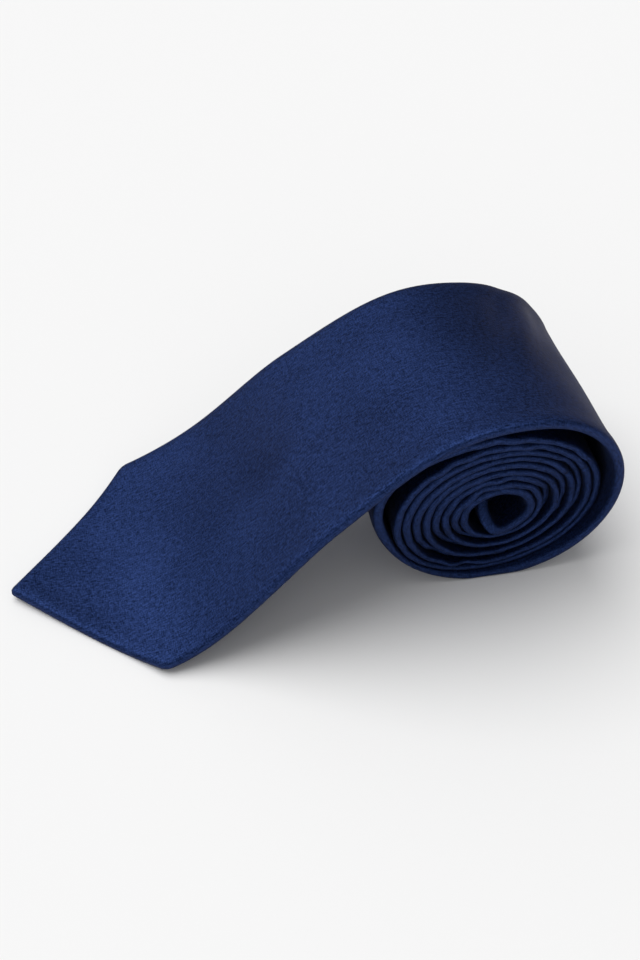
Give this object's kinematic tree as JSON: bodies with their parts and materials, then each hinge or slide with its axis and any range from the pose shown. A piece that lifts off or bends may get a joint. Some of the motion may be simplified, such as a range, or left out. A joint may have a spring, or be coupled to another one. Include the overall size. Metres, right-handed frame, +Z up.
{
  "type": "necktie",
  "caption": "Rolled necktie in dark satin: folded silk envelope over interlining, wound up from its narrow tail, with the wide pointed blade lying out in front of the roll.",
  "frame": {"origin": "bottom centre of the whole tie's box, on the surface that it lies on", "axes": "+X from the point of the blade towards the roll, +Z up, -Y the side of the visible spiral end face"},
  "size_m": [0.184, 0.08, 0.075],
  "materials": {
    "silk": "navy satin twill, soft sheen",
    "interlining": "brushed wool blend, matt",
    "tipping": "plain navy lining, slightly glossy",
    "thread": "navy sewing thread",
    "label": "blank woven satin ribbon"
  },
  "bodies": {
    "roll": {"blade_panel_rolled": "silk", "neck_panel": "silk", "tail_panel": "silk", "keeper_loop": "silk", "blade_interlining_rolled": "interlining", "tail_interlining": "interlining", "tail_tipping": "tipping", "slip_stitch_rolled": "thread", "bar_tack_tail": "thread", "keeper_tack_near": "thread", "keeper_tack_far": "thread", "spare_thread_loop": "thread", "care_label": "label"},
    "blade": {"blade_panel_free": "silk", "blade_interlining_free": "interlining", "blade_tipping": "tipping", "slip_stitch_free": "thread", "bar_tack_blade": "thread"}
  },
  "joints": [
    {"name": "blade_lift", "type": "hinge", "parent": "roll", "child": "blade", "pos_m": [0.0014, 0, 0.0485], "axis": [0, 1, 0], "range_deg": [0, 45]}
  ]
}
